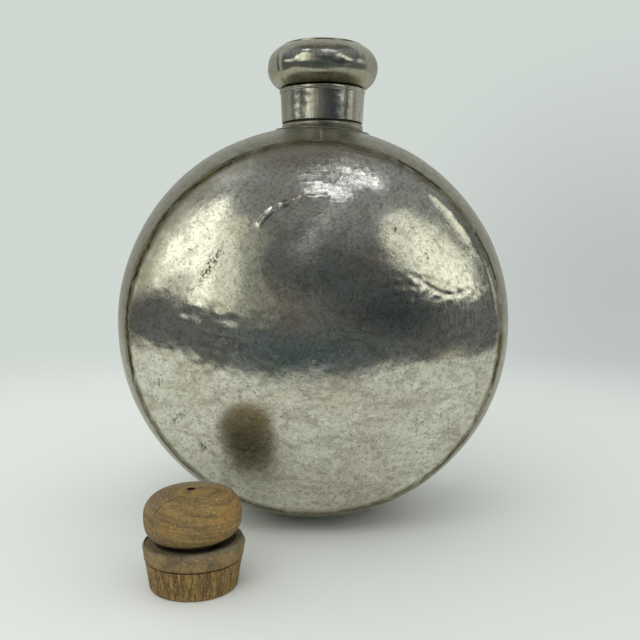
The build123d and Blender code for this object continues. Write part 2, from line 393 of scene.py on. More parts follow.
class Finish(Nodes):
    """A material under construction, with its Principled shader. Lengths are in mm, turns in degrees."""

    def __init__(self, name, centre=(0, 0, 0)):
        self.material = bpy.data.materials.new(name)
        self.material.use_nodes = True
        self.tree = self.material.node_tree
        self.surface = next(n for n in self.tree.nodes if n.type == "BSDF_PRINCIPLED")
        coordinates = self.add("ShaderNodeTexCoord").outputs["Object"]
        self.places = self.vector("SUBTRACT", coordinates, centre)
        self.x, self.y, self.z = self.split(self.places)

    def fade(self, value, low, high, start=0.0, end=1.0):
        """A length from low to high, carried smoothly to start to end."""
        return self.ramp(value, low * mm, high * mm, start, end)

    def noise(self, size, detail, rough, warp=0.0):
        """A noise from 0 to 1, with features of about size."""
        return self.noise_over(self.places, detail, rough, warp, size * mm)

    def noise_over(self, places, detail, rough, warp=0.0, size=1.0):
        """A noise from 0 to 1 over some places, with features of about size in their own unit."""
        inputs = {
            "Vector": places, "Scale": 1 / size, "Detail": detail, "Roughness": rough, "Distortion": warp,
        }
        return self.add("ShaderNodeTexNoise", inputs).outputs["Fac"]

    def sweep(self, first, second, third, around, across):
        """Places unrolled round an axis: around is in features per radian, across is a feature's size."""
        return self.join(
            self.times(first, around), self.times(second, around), self.calc("DIVIDE", third, across * mm)
        )

    def stretched(self, width, length):
        """Places in which a feature is width wide and length high."""
        return self.vector("MULTIPLY", self.places, (1 / (width * mm), 1 / (width * mm), 1 / (length * mm)))

    def rotated(self, places, turn, axis="Y_AXIS"):
        """Places turned round an axis."""
        inputs = {"Vector": places, "Angle": radians(turn)}
        return self.add("ShaderNodeVectorRotate", inputs, rotation_type=axis).outputs[0]

    def hairlines(self, turn, length, width, low, high):
        """Sparse straight scratches in the plane of X and Z, turned from X up."""
        scale = (1 / (length * mm), 1 / (length * mm), 1 / (width * mm))
        scaled = self.vector("MULTIPLY", self.rotated(self.places, turn), scale)
        return self.ramp(self.noise_over(scaled, 2, 0.5, 0.1), low, high)

    def spot(self, place, size, turn=0.0, level=False, core=0.3):
        """1 inside a long soft spot and 0 outside, seen along Y, or from above if level."""
        shifted = self.vector("SUBTRACT", self.places, tuple(value * mm for value in place))
        turned = self.rotated(shifted, -turn, "Z_AXIS") if level else self.rotated(shifted, turn)
        wide, tall = 1 / (size[0] * mm), 1 / (size[1] * mm)
        shares = self.vector("MULTIPLY", turned, (wide, tall, 0) if level else (wide, 0, tall))
        return self.ramp(self.length(shares), core, 1.0, 1.0, 0.0)

    def bumps(self, *layers):
        """The normal of bumps on top of each other, each a height and how deep it is where it is 1."""
        normal = None
        for height, depth in layers:
            depth = depth if isinstance(depth, bpy.types.NodeSocket) else depth * mm
            made = self.add("ShaderNodeBump", {"Height": height, "Distance": depth, "Strength": 1.0})
            if normal is not None:
                self.put(made.inputs["Normal"], normal)
            normal = made.outputs[0]
        return normal

    def dress(self, colour, roughness, normal, metallic=1.0):
        """Puts the finished values on the shader."""
        self.put(self.surface.inputs["Base Color"], colour)
        self.put(self.surface.inputs["Roughness"], roughness)
        self.put(self.surface.inputs["Normal"], normal)
        self.surface.inputs["Metallic"].default_value = metallic
        return self.material


def face_tin():
    """The beaten faces: worn tin over brass, with round polishing scratches, pits, stains and a dull rim."""
    look = Finish("tinned_face", (0, 0, body_height))
    radius, east, north = look.polar(look.x, look.z)
    scratch = look.noise_over(look.sweep(east, north, radius, 9.0, 1.1), 4, 0.7, 0.4)
    wipe = look.noise_over(look.sweep(east, north, radius, 2.2, 2.6), 5, 0.65, 0.3)
    lengths = ((-11, 55), (38, 30), (-52, 26), (83, 22))
    hair = look.most(*(look.hairlines(turn, length, 0.55, 0.69, 0.76) for turn, length in lengths))
    scribble = look.most(*(look.hairlines(turn, 12, 0.6, 0.66, 0.73) for turn in (24, -33, 68)))
    scribble = look.times(scribble, look.fade(look.z, 10, -30, 0.15, 1.0))
    cloud = look.noise(48, 4, 0.55, 0.4)
    mottle = look.noise(10, 6, 0.65, 0.8)
    grain = look.noise(3.2, 5, 0.7, 0.5)
    fleck = look.noise(1.7, 3, 0.6)
    peel = look.noise(6, 3, 0.5, 0.3)

    colour = look.mix(look.ramp(cloud, 0.36, 0.64), (0.615, 0.594, 0.478), (0.695, 0.685, 0.574))
    for place, size, turn, share, tarnish in (
        ((36, 0, 52), (24, 16), 20, 0.6, (0.60, 0.47, 0.36)),
        ((-30, 0, 42), (14, 30), -10, 0.6, (0.58, 0.50, 0.40)),
        ((-18, 0, 6), (34, 16), 0, 0.6, (0.60, 0.49, 0.42)),
        ((52, 0, -52), (50, 26), 15, 0.6, (0.52, 0.47, 0.39)),
        ((-62, 0, -58), (30, 40), 30, 0.5, (0.54, 0.49, 0.40)),
        ((20, 0, 105), (70, 22), 0, 0.3, (0.585, 0.57, 0.555)),
    ):
        colour = look.coats(colour, (look.spot(place, size, turn, core=0.0), share, tarnish))
    drift = look.noise_over(look.join(look.z, look.x, look.y), 4, 0.55, size=60 * mm)
    smear = look.noise_over(look.stretched(26, 11), 5, 0.6, 1.2)
    smeared = look.fade(look.z, 30, -15, 0.35, 1.0)
    colour = look.coats(
        colour,
        (drift, 0.52, 0.72, 0.5, (0.50, 0.43, 0.34)),
        (look.times(look.ramp(smear, 0.50, 0.64), smeared), 0.65, (0.375, 0.345, 0.262)),
        (look.times(look.ramp(smear, 0.46, 0.30), smeared), 0.6, (0.83, 0.825, 0.75)),
        (mottle, 0.48, 0.66, 0.6, (0.38, 0.35, 0.27)),
        (grain, 0.50, 0.64, 0.65, (0.31, 0.285, 0.22)),
        (fleck, 0.56, 0.68, 0.6, (0.20, 0.18, 0.13)),
        (fleck, 0.42, 0.32, 0.4, (0.80, 0.79, 0.71)),
        (scratch, 0.56, 0.72, 0.5, (0.78, 0.77, 0.69)),
        (wipe, 0.46, 0.30, 0.35, (0.36, 0.34, 0.27)),
        (hair, 0.4, (0.82, 0.81, 0.74)),
        (scribble, 0.55, (0.20, 0.18, 0.13)),
    )

    pits = look.ramp(look.noise(2.4, 3, 0.6, 1.0), 0.63, 0.68)
    pits = look.times(pits, look.ramp(look.noise(26, 2, 0.5), 0.50, 0.66))
    crowd = look.noise(2.0, 4, 0.65)
    for place, size, turn, low in (
        ((-74, 0, 51), (20, 5), 57, 0.49),
        ((-98, 0, -60), (14, 3.5), 42, 0.47),
        ((-82, 0, -83), (4, 5), 0, 0.44),
        ((-113, 0, -37), (3, 3), 0, 0.44),
        ((56, 0, 77), (8, 2.2), 125, 0.50),
        ((79, 0, 58), (5, 2), 125, 0.50),
    ):
        pits = look.most(pits, look.times(look.ramp(crowd, low, low + 0.07), look.spot(place, size, turn)))

    ragged = look.ramp(look.noise(14, 5, 0.65), 0.25, 0.6, 0.4, 1.0)
    side = look.times(look.fade(look.x, -50, 70, 1.0, 0.6), look.fade(look.z, 5, 55, 0.12, 1.0))
    inner = look.plus(radius, look.fade(look.x, 0, 90), -13 * mm)
    rim = look.times(look.fade(inner, 118, 134), ragged, side)
    dirt = look.times(look.fade(radius, 134.5, 138), look.ramp(mottle, 0.35, 0.55, 0.6, 1.0))
    brushed = look.ramp(look.noise_over(look.stretched(1.1, 18), 3, 0.6, 0.2), 0.50, 0.66)
    brushed = look.times(brushed, look.spot((106, 0, 12), (30, 26), core=0.0))
    colour = look.coats(
        colour,
        (pits, 0.85, (0.075, 0.06, 0.04)),
        (rim, 0.75, (0.36, 0.34, 0.24)),
        (dirt, 0.8, (0.15, 0.13, 0.07)),
        (brushed, 0.5, (0.80, 0.79, 0.80)),
    )
    rough = look.ramp(mottle, 0.35, 0.7, 0.075, 0.14)
    rough = look.calc("ADD", rough, look.fade(look.z, -60, -5, 0.11, 0.0))
    for mask, share in ((rim, 0.24), (dirt, 0.35), (pits, 0.3), (brushed, 0.16)):
        rough = look.plus(rough, mask, share)
    sunk = look.calc("SUBTRACT", 1.0, pits)
    normal = look.bumps(
        (peel, 0.06), (wipe, 0.026), (scratch, 0.024), (grain, 0.04), (hair, 0.006), (sunk, 0.04),
    )
    return look.dress(colour, rough, normal)


def band_tin():
    """The band: dull, greyer and olive towards the seams, with scratches along it."""
    look = Finish("tinned_band", (0, 0, body_height))
    _, east, north = look.polar(look.x, look.z)
    scratch = look.noise_over(look.sweep(east, north, look.y, 7.0, 1.6), 4, 0.7, 0.3)
    cloud = look.noise(40, 5, 0.6, 0.5)
    mottle = look.noise(8, 5, 0.65, 0.5)
    grain = look.noise(2.8, 5, 0.7, 0.4)
    fleck = look.noise(1.4, 3, 0.6)
    depth = look.calc("ABSOLUTE", look.y)
    rim = look.times(look.fade(depth, 38, 80), look.ramp(mottle, 0.3, 0.6, 0.5, 1.0))
    dirt = look.times(look.fade(depth, 74, 79), look.ramp(mottle, 0.35, 0.55, 0.2, 0.9))
    colour = look.coats(
        look.mix(look.ramp(cloud, 0.35, 0.65), (0.44, 0.42, 0.335), (0.56, 0.55, 0.47)),
        (mottle, 0.46, 0.66, 0.6, (0.28, 0.26, 0.18)),
        (grain, 0.48, 0.68, 0.55, (0.22, 0.20, 0.145)),
        (fleck, 0.60, 0.72, 0.5, (0.10, 0.09, 0.055)),
        (scratch, 0.58, 0.74, 0.4, (0.70, 0.69, 0.62)),
        (rim, 0.7, (0.25, 0.23, 0.145)),
        (dirt, 0.8, (0.13, 0.115, 0.06)),
    )
    rough = look.plus(look.ramp(cloud, 0.3, 0.7, 0.27, 0.40), rim, 0.1)
    rough = look.plus(rough, look.ramp(grain, 0.45, 0.7), 0.1)
    return look.dress(colour, rough, look.bumps((mottle, 0.12), (scratch, 0.04), (grain, 0.08)))


def neck_tin():
    """The collar, the bulb and the rings: brighter tin, scratched along their height, stained low and at the
    sides, and darker at the bulb's foot.
    """
    look = Finish("tinned_neck", (neck_offset, 0, 0))
    _, east, north = look.polar(look.x, look.y)
    wear = look.noise_over(look.sweep(east, north, look.z, 26.0, 14), 4, 0.65, 0.3)
    cloud = look.noise(13, 4, 0.55, 0.5)
    grain = look.noise(2.0, 4, 0.7, 0.4)
    fleck = look.noise(1.1, 3, 0.6)
    (_, _, bulb_low), (_, _, bulb_high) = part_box("mouth_bulb")
    low, middle = bulb_low / mm, (bulb_low + bulb_high) / 2 / mm
    on_bulb = look.fade(look.z, low - 0.4, low)
    under = look.times(on_bulb, look.fade(look.z, low + 4, middle, 1.0, 0.0))
    flank = look.times(on_bulb, look.fade(look.calc("ABSOLUTE", look.x), 33, 44))
    side = look.times(look.fade(look.x, -24, -31), look.fade(look.z, low, low - 1))
    stain = look.times(look.most(under, flank, side), look.ramp(cloud, 0.25, 0.55, 0.55, 1.0))
    # The bulb's lowest 3 mm, next to the bead, is made dark.
    foot = look.times(look.fade(look.z, low + 3, low), on_bulb)
    worn = look.spot((12, 0, bulb_high / mm - 0.5), (15, 3))
    colour = look.coats(
        look.mix(look.ramp(cloud, 0.35, 0.65), (0.465, 0.442, 0.347), (0.545, 0.54, 0.472)),
        (wear, 0.48, 0.68, 0.55, (0.32, 0.295, 0.20)),
        (grain, 0.50, 0.70, 0.45, (0.24, 0.225, 0.165)),
        (fleck, 0.60, 0.72, 0.4, (0.12, 0.11, 0.07)),
        (stain, 0.75, (0.235, 0.22, 0.13)),
        (foot, 0.7, (0.08, 0.066, 0.036)),
        (worn, 0.5, (0.30, 0.21, 0.13)),
    )
    rough = look.calc("ADD", look.ramp(cloud, 0.3, 0.7, 0.09, 0.16), look.ramp(wear, 0.5, 0.8, 0.0, 0.10))
    rough = look.plus(rough, stain, 0.16)
    return look.dress(colour, rough, look.bumps((wear, 0.045), (grain, 0.035)))


def ring_tin():
    """The root ring: dull and dirty, as it is hard to polish, with painted shade on top, in the gap under the
    collar.
    """
    look = Finish("tinned_ring", (neck_offset, 0, 0))
    cloud = look.noise(12, 4, 0.6)
    grain = look.noise(2, 4, 0.7)
    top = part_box("neck_root_ring")[1][2] / mm - 0.7
    # Painted shade: the ring's top half millimetre, and all above it, is painted near black for the shadow in
    # the gap under the collar.
    gap = look.fade(look.z, top - 0.5, top)
    colour = look.coats(
        look.mix(look.ramp(cloud, 0.35, 0.65), (0.30, 0.28, 0.20), (0.48, 0.465, 0.37)),
        (grain, 0.48, 0.68, 0.5, (0.12, 0.105, 0.065)),
        (gap, 0.9, (0.030, 0.025, 0.014)),
    )
    rough = look.plus(look.ramp(cloud, 0.3, 0.7, 0.27, 0.38), gap, 0.2)
    return look.dress(colour, rough, look.bumps((grain, 0.06)))


def braze():
    """Brass braze, tarnished to olive brown, with a worn golden crest."""
    look = Finish("braze")
    crest = look.add("ShaderNodeAttribute", attribute_name="crest").outputs["Fac"]
    lump = look.noise(5, 5, 0.65)
    grain = look.noise(1.4, 4, 0.7)
    shine = look.times(look.ramp(crest, 0.12, 0.7), look.ramp(grain, 0.34, 0.52))
    colour = look.coats(
        look.mix(look.ramp(lump, 0.38, 0.64), (0.062, 0.055, 0.025), (0.19, 0.168, 0.076)),
        (grain, 0.52, 0.70, 0.6, (0.035, 0.028, 0.014)),
        (shine, 0.65, (0.74, 0.64, 0.35)),
    )
    return look.dress(colour, look.ramp(grain, 0.3, 0.7, 0.35, 0.58), look.bumps((grain, 0.25)))


def tinned_line():
    """The tinned braze of the band's joint, a little lighter than the band."""
    look = Finish("tinned_line")
    lump = look.noise(3, 4, 0.6)
    colour = look.mix(look.ramp(lump, 0.35, 0.65), (0.42, 0.39, 0.29), (0.62, 0.60, 0.50))
    return look.dress(colour, look.ramp(lump, 0.3, 0.7, 0.3, 0.45), look.bumps((lump, 0.08)))


def wood():
    """Old turned wood: growth layers round a heart near the knob's middle, upright fibres, stains, cracks."""
    look = Finish("stopper_wood", (stopper_spot[0], stopper_spot[1], 0))
    wander = look.noise(26, 4, 0.5)
    reach, _, _ = look.polar(look.calc("ADD", look.x, -5 * mm), look.calc("ADD", look.y, 7 * mm))
    layer = look.plus(look.plus(look.z, reach, -0.16), look.x, 0.10)
    layer = look.plus(layer, wander, 5 * mm)
    rings = look.ramp(look.calc("SINE", look.times(layer, 2 * pi / (1.25 * mm))), -1, 1)
    spans = ((layer, 2.4), (look.x, 30), (look.y, 30))
    layers = look.join(*(look.calc("DIVIDE", value, span * mm) for value, span in spans))
    broad = look.noise_over(layers, 5, 0.6)
    fibre = look.noise_over(look.stretched(0.9, 8), 4, 0.65, 0.6)
    coarse = look.noise_over(look.stretched(4, 22), 4, 0.6, 0.9)
    patch = look.noise(15, 4, 0.55, 0.5)
    speck = look.noise(1.2, 4, 0.7)
    dapple = look.noise(2.6, 5, 0.7, 0.8)

    plug = look.coats(
        look.mix(look.ramp(coarse, 0.38, 0.62), (0.155, 0.092, 0.028), (0.31, 0.19, 0.058)),
        (fibre, 0.46, 0.64, 0.8, (0.065, 0.038, 0.014)),
        (fibre, 0.44, 0.30, 0.6, (0.58, 0.39, 0.12)),
    )
    orange = look.most(look.spot((23, 0, 50), (13, 13), core=0.0), look.spot((-13, 0, 47), (14, 5), core=0.0))
    orange = look.times(orange, look.ramp(broad, 0.3, 0.6, 0.3, 0.9))
    faint = look.times(rings, look.ramp(patch, 0.3, 0.7, 0.05, 0.30))
    knob = look.coats(
        look.mix(look.ramp(broad, 0.36, 0.62), (0.165, 0.112, 0.044), (0.300, 0.197, 0.066)),
        (orange, 1, (0.40, 0.225, 0.056)),
        (patch, 0.48, 0.66, 0.7, (0.19, 0.138, 0.080)),
        (faint, 1, (0.11, 0.065, 0.024)),
        (dapple, 0.50, 0.66, 0.55, (0.095, 0.062, 0.026)),
        (dapple, 0.44, 0.30, 0.45, (0.46, 0.33, 0.14)),
    )
    flange = look.coats(
        look.mix(look.ramp(patch, 0.38, 0.62), (0.15, 0.112, 0.056), (0.30, 0.20, 0.080)),
        (rings, 0.25, (0.08, 0.055, 0.025)),
        (dapple, 0.50, 0.66, 0.6, (0.075, 0.05, 0.022)),
        (dapple, 0.44, 0.30, 0.4, (0.42, 0.29, 0.12)),
    )
    shoulder = look.fade(look.z, 35, 33)
    ledge = look.times(look.fade(look.z, 28.5, 31), shoulder, look.ramp(patch, 0.3, 0.6, 0.35, 0.8))

    out, _, _ = look.polar(look.x, look.y)
    # Painted shade: the groove under the flange's edge and the waist under the knob are painted near black,
    # for the shadow that falls there.
    groove = look.times(look.fade(look.z, 19.0, 19.5), look.fade(look.z, 20.6, 20.1))
    waist = look.times(look.fade(out, 31, 20), look.fade(look.z, 37, 33), look.fade(look.z, 28, 29))
    top = look.fade(look.z, 40, 42)
    # The first spot makes the inside of the knob's hole near black; the others are cracks.
    cracks = [look.spot((-1.4, 0, 0), (3.3, 3.3), level=True, core=0.75)]
    for x, y, long, wide, turn in (
        (-19, -22, 7.5, 0.55, 27),
        (-14, -19, 7, 0.55, 33),
        (-8.6, -15.2, 8.5, 0.55, 40),
        (4.4, -20, 4, 0.45, 82),
        (14, -9, 7, 0.35, 60),
    ):
        cracks.append(look.spot((x, y, 0), (long, wide), turn, level=True, core=0.0))
    cracks = look.times(look.most(*cracks), top)
    specks = ((17.2, -16.8, 0.8), (16.2, -25, 0.5))
    chalk = look.most(*(look.spot((x, y, 0), (size, size), level=True) for x, y, size in specks))
    colour = look.mix(shoulder, knob, flange)
    colour = look.mix(ledge, colour, (0.15, 0.142, 0.10))
    colour = look.mix(look.fade(look.z, 24, 18), colour, plug)
    colour = look.coats(
        colour,
        (speck, 0.53, 0.66, 0.65, (0.050, 0.033, 0.012)),
        (speck, 0.42, 0.28, 0.55, (0.62, 0.47, 0.21)),
        # Painted light: the back, towards the flask, is painted greyer for the cool light on its shaded side.
        (look.fade(look.y, 0, 20), 0.6, (0.25, 0.24, 0.17)),
        # Near black: painted shade in the groove and the waist, and the cracks.
        (look.most(look.times(groove, 0.9), look.times(waist, 0.8), cracks), 1, (0.016, 0.010, 0.006)),
        (look.times(chalk, top), 0.8, (0.66, 0.58, 0.42)),
    )
    deep = look.fade(look.z, 24, 18, 0.18 * mm, 0.5 * mm)
    sunk = look.calc("SUBTRACT", 1.0, cracks)
    normal = look.bumps((fibre, deep), (rings, 0.07), (speck, 0.22), (sunk, 0.4))
    made = look.dress(colour, look.ramp(fibre, 0.3, 0.7, 0.50, 0.75), normal, metallic=0.0)
    look.surface.inputs["Specular IOR Level"].default_value = 0.35
    return made


face_look = face_tin()
band_look = band_tin()
neck_look = neck_tin()
ring_look = ring_tin()
braze_look = braze()
line_look = tinned_line()
wood_look = wood()


# Seams. A crack is where a seam stands open, and a sector where braze lies over it: each is its middle and
# half its span in degrees, and a sector has its fullness too. A blob of braze is its angle and its size.

front_sectors = (
    (155, 39, 1.0), (-4, 17, 0.6), (-39, 5, 0.7), (-58, 9, 0.45), (-96, 12, 0.6), (85, 16, 0.3),
    (228, 12, 0.15),
)
front_cracks = ((110, 9), (50, 15.5), (21.5, 8), (-30, 8), (201, 7), (222, 15), (250.5, 6), (-75, 9))
front_blobs = (
    (116.5, 0.8), (141.4, 0.6), (205.4, 1.3), (222.5, 1.3), (31.9, 1.2), (29.5, 0.8), (48, 0.6), (15.8, 0.6),
    (-20, 0.6), (-54.5, 0.9), (65.5, 0.4),
)
back_sectors = ((20, 24, 0.9), (75, 12, 0.5), (120, 10, 0.8), (180, 32, 1.0), (250, 20, 0.6), (310, 14, 0.9))
back_cracks = ((98, 12), (150, 9), (228, 12), (288, 14), (340, 10), (48, 12))
back_blobs = ((12, 1.0), (44, 0.7), (98, 1.2), (133, 0.8), (166, 1.1), (214, 1.2), (262, 0.7), (333, 1.0))


def seam_side(turn, first_turn):
    """+1 on a tab of the face and -1 on a tab of the band, with slanting flanks, at angles in degrees."""
    phase = (turn - first_turn) / (360 / tab_count) % 1
    leave = step_up(phase, 0.5 - tab_flank_share, 0.5)
    enter = step_up(phase, 1 - tab_flank_share, 1)
    return 2 * (1 - leave + enter) - 1


def seam_line(turn, first_turn):
    """The seam's run along the section at angles in degrees: a tab of the face reaches towards the band."""
    return seam_run - tab_step * seam_side(turn, first_turn)


def open_share(turn, cracks):
    """How far the seam stands open at angles in degrees, from 0 to 1."""
    wide = np.zeros(np.shape(turn))
    for middle, half in cracks:
        wide = np.maximum(wide, 1 - step_up(degrees_apart(turn, middle), half - 2.5, half + 1))
    return wide


# The faces

face_steps = 140


def disc_grid():
    """Angles, and shares of the way out from the middle, of a square grid wound out to a disc."""
    side = np.linspace(-1, 1, 2 * face_steps + 1)
    across, upwards = np.meshgrid(side, side)
    share = np.maximum(np.abs(across), np.abs(upwards))
    whole = np.where(share == 0, 1, share)
    beside = np.abs(across) >= np.abs(upwards)
    from_side = pi / 4 * upwards / whole * np.sign(across + (across == 0)) + np.where(across < 0, pi, 0)
    from_top = pi / 2 * np.sign(upwards) - pi / 4 * across / whole * np.sign(upwards)
    return np.where(beside, from_side, from_top), share


def face(name, first_turn, dents, cracks, back=False):
    """One dished face with its dents, one sheet thick."""
    turn, share = disc_grid()
    wide = open_share(np.degrees(turn), cracks)
    edge = seam_line(np.degrees(turn), first_turn) + seam_gap / 2 * (1 + wide)
    run = whole_run - share * (whole_run - edge)
    lap = tab_lap * (seam_side(np.degrees(turn), first_turn) + wide) * np.exp(-(run - edge) / lap_reach)
    flat = on_body(turn, run, 0.0)
    calm = step_up(run - edge, 1 * mm, 11 * mm)
    points = on_body(turn, run, lap + calm * dents(flat[..., 0], flat[..., 2] - body_height))
    steps = 2 * face_steps + 1
    made = new_object(name, turn_back(points) if back else points, grid_faces(steps, steps), face_look)
    add_thickness(made)
    return made


def waves(across, upwards, seed, broad):
    """Unevenness of a beaten sheet at three scales."""
    places = np.stack([across, upwards], -1)
    field = broad * ripples(places, 95 * mm, seed)
    field += 0.05 * mm * ripples(places, 42 * mm, seed + 1)
    return field + 0.012 * mm * ripples(places, 15 * mm, seed + 2)


def front_dents(across, upwards):
    """How far the front face stands out from its true shape."""
    lift = waves(across, upwards, 11, 0.12 * mm)
    lift += beaten(across, upwards, 5, 140)
    for path, width, height in (
        ([(-39, 80), (-33, 87), (-26, 92), (-17, 96)], 2.2, 0.6),
        ([(-13, 97), (-5, 99), (8, 99)], 2.0, 0.24),
        ([(70, 44), (80, 36), (92, 31), (104, 30)], 2.2, -0.09),
        ([(76, 38), (88, 29), (98, 35)], 1.6, 0.06),
        ([(-112, 38), (-92, 25), (-62, 14)], 2.6, 0.05),
        ([(-92, 10), (-76, 4), (-58, 6)], 3.0, 0.06),
        ([(-84, 0), (-68, -4)], 3.4, -0.05),
        ([(-12, 108), (2, 110), (20, 106)], 2.0, 0.06),
        ([(6, 118), (28, 116), (46, 108)], 2.2, -0.06),
    ):
        lift += crease(across, upwards, [(x * mm, z * mm) for x, z in path], width * mm, height * mm)
    lift += dent(across, upwards, (-54 * mm, -122 * mm), (56 * mm, 32 * mm), 0, 1.35 * mm)
    turn, radius = np.arctan2(upwards, across), np.hypot(across, upwards)
    side = np.clip(1 - (degrees_apart(np.degrees(turn), 41) / 17) ** 2, 0, 1)
    places = np.stack([across, upwards], -1)
    uneven = 1 + 0.12 * ripples(places, 12 * mm, 9)
    lift += side * uneven * 0.56 * mm * np.exp(-(((radius - 134.0 * mm) / (4.3 * mm)) ** 2))
    for x, z, long, tall, wavelength, height in (
        (-74, 8, 52, 22, 10, 0.045),
        (-70, -20, 60, 12, 9, 0.022),
        (84, 34, 38, 11, 8, 0.045),
        (14, 108, 58, 18, 5, 0.009),
        (60, -18, 60, 12, 9, 0.015),
    ):
        rough = dent(across, upwards, (x * mm, z * mm), (long * mm, tall * mm), 0, height * mm)
        lift += rough * ripples(places, wavelength * mm, 12 + wavelength)
    return lift


def back_dents(across, upwards):
    """How far the back face stands out from its true shape."""
    lift = waves(across, upwards, 21, 0.14 * mm) - 0.5 * mm
    return lift + beaten(across, upwards, 6, 140)


# The band

def on_band_top(across, deep):
    """The height of the band's skin under a point near its top."""
    radius = band_centre + np.sqrt(band_crown_radius**2 - deep**2)
    return body_height + np.sqrt(radius**2 - across**2)


def band():
    """The band between the seams, one sheet thick, open under the neck, with its foot pressed flat."""
    around, steps = 1080, 121
    turn = full_turn(around)[:, None]
    share = np.linspace(0, 1, steps)[None, :]
    front_turn, back_turn = np.degrees(turn), 180 - np.degrees(turn)
    front_wide, back_wide = open_share(front_turn, front_cracks), open_share(back_turn, back_cracks)
    front_edge = seam_line(front_turn, front_seam_turn) - seam_gap / 2 * (1 + front_wide)
    back_edge = seam_line(back_turn, back_seam_turn) - seam_gap / 2 * (1 + back_wide)
    run = front_edge - share * (front_edge + back_edge)
    front_lap = seam_side(front_turn, front_seam_turn) * np.exp(-(front_edge - run) / lap_reach)
    back_lap = seam_side(back_turn, back_seam_turn) * np.exp(-(run + back_edge) / lap_reach)
    flat = on_body(turn + 0 * run, run, 0.0)
    calm = step_up(seam_run - np.abs(run), 1 * mm, 20 * mm)
    lift = -0.22 * mm + 0.18 * mm * ripples(flat, 80 * mm, 31) + 0.03 * mm * ripples(flat, 25 * mm, 32)
    points = on_body(turn + 0 * run, run, calm * lift - tab_lap * (front_lap + back_lap))
    points[..., 2] = np.maximum(points[..., 2], 0)
    points = points.reshape(-1, 3)
    from_neck = np.hypot(points[:, 0] - neck_offset, points[:, 1])
    hole = (from_neck < tube_radius + 1.5 * mm) & (points[:, 2] > body_height)
    faces = [quad for quad in grid_faces(around, steps, closed_rows=True) if not hole[quad].any()]
    used = np.unique(faces)
    made = new_object("band_beaten", points[used], np.searchsorted(used, faces).tolist(), band_look)
    add_thickness(made)
    return made


# The braze

def seam_braze(name, first_turn, sectors, blobs, cracks, seed, back=False):
    """Braze along a seam: a smeared strip in its sectors, sunk in the gap elsewhere, and blobs."""
    sections = 2160
    turn = np.linspace(0, 360, sections, endpoint=False)
    places = np.stack([np.cos(np.radians(turn)), np.sin(np.radians(turn))], -1) * seam_radius
    full = np.zeros(sections)
    for middle, half, share in sectors:
        full = np.maximum(full, share * (1 - step_up(degrees_apart(turn, middle), half - 3, half + 3)))
    full = full * (1 + 0.125 * ripples(places, 16 * mm, seed) + 0.08 * ripples(places, 7 * mm, seed + 2))
    swell = np.zeros(sections)
    for middle, size in blobs:
        swell += size * np.exp(-((degrees_apart(turn, middle) / (0.6 + 0.2 * size)) ** 2))
    full, swell = np.clip(full, 0, 1.4), np.clip(swell, 0, 2)
    wide = open_share(turn, cracks)
    to_face = (0.45 + 0.5 * wide + 4.4 * full + 1.3 * swell) * mm
    to_band = (0.45 + 0.5 * wide + 1.2 * full + 0.8 * swell) * mm
    crest = (-0.55 - 0.6 * wide + 1.3 * np.clip(full, 0, 1) + 0.8 * swell) * mm
    crest = crest + 0.05 * mm * ripples(places, 7 * mm, seed + 1)
    middle_run = seam_line(turn, first_turn)
    # Each is a share of the way to the band or the face, a height in mm, a share of the crest, and a shine
    shape = (
        (-1, -1.6, 0, 0), (-1, -0.3, 0, 0), (-0.6, 0.02, 0.3, 0), (0, 0.04, 0.45, 0), (0.22, 0.05, 0.7, 0.2),
        (0.32, 0.05, 1.0, 1), (0.42, 0.05, 0.6, 0.2), (0.85, 0.03, 0.2, 0), (1, -0.3, 0, 0), (1, -1.6, 0, 0),
    )
    rows = []
    for across, skin, rise, _ in shape:
        run = middle_run + np.where(across < 0, to_band, to_face) * across
        lift = np.minimum(skin * mm + rise * np.maximum(crest, 0), np.maximum(crest, braze_foot + 0.1 * mm))
        rows.append(on_body(np.radians(turn), run, np.where(skin < -1, braze_foot, lift)))
    points = np.stack(rows, 1)
    faces = grid_faces(sections, len(shape), closed_rows=True, closed_columns=True)
    made = new_object(name, turn_back(points) if back else points, faces, braze_look)
    golden = np.tile([shine for _, _, _, shine in shape], sections)
    made.data.attributes.new("crest", "FLOAT", "POINT").data.foreach_set("value", golden.astype(np.float32))
    return made


def joint_braze(name, back=False):
    """The raised line over the joint of the band's ends, from the seam to the saddle plate."""
    steps = 90
    run = joint_start + (seam_run - 2.2 * mm - joint_start) * np.linspace(0, 1, steps)
    run = -run if back else run
    radius, _, _ = section(run)
    wobble = 0.25 * mm * ripples(run[:, None], 9 * mm, 41)
    rows = []
    for across, lift in ((-0.9, -0.5), (-0.8, 0.02), (-0.3, 0.2), (0.3, 0.2), (0.8, 0.02), (0.9, -0.5)):
        turn = pi / 2 - (joint_offset + wobble + across * mm) / radius
        rows.append(on_body(turn, run, lift * mm + 0 * run))
    faces = grid_faces(steps, len(rows), closed_columns=True, flip=not back)
    first = list(range(len(rows)))
    last = [corner + (steps - 1) * len(rows) for corner in first]
    faces += [first[::-1], last] if back else [first, last[::-1]]
    return new_object(name, np.stack(rows, 1), faces, line_look)


# The neck

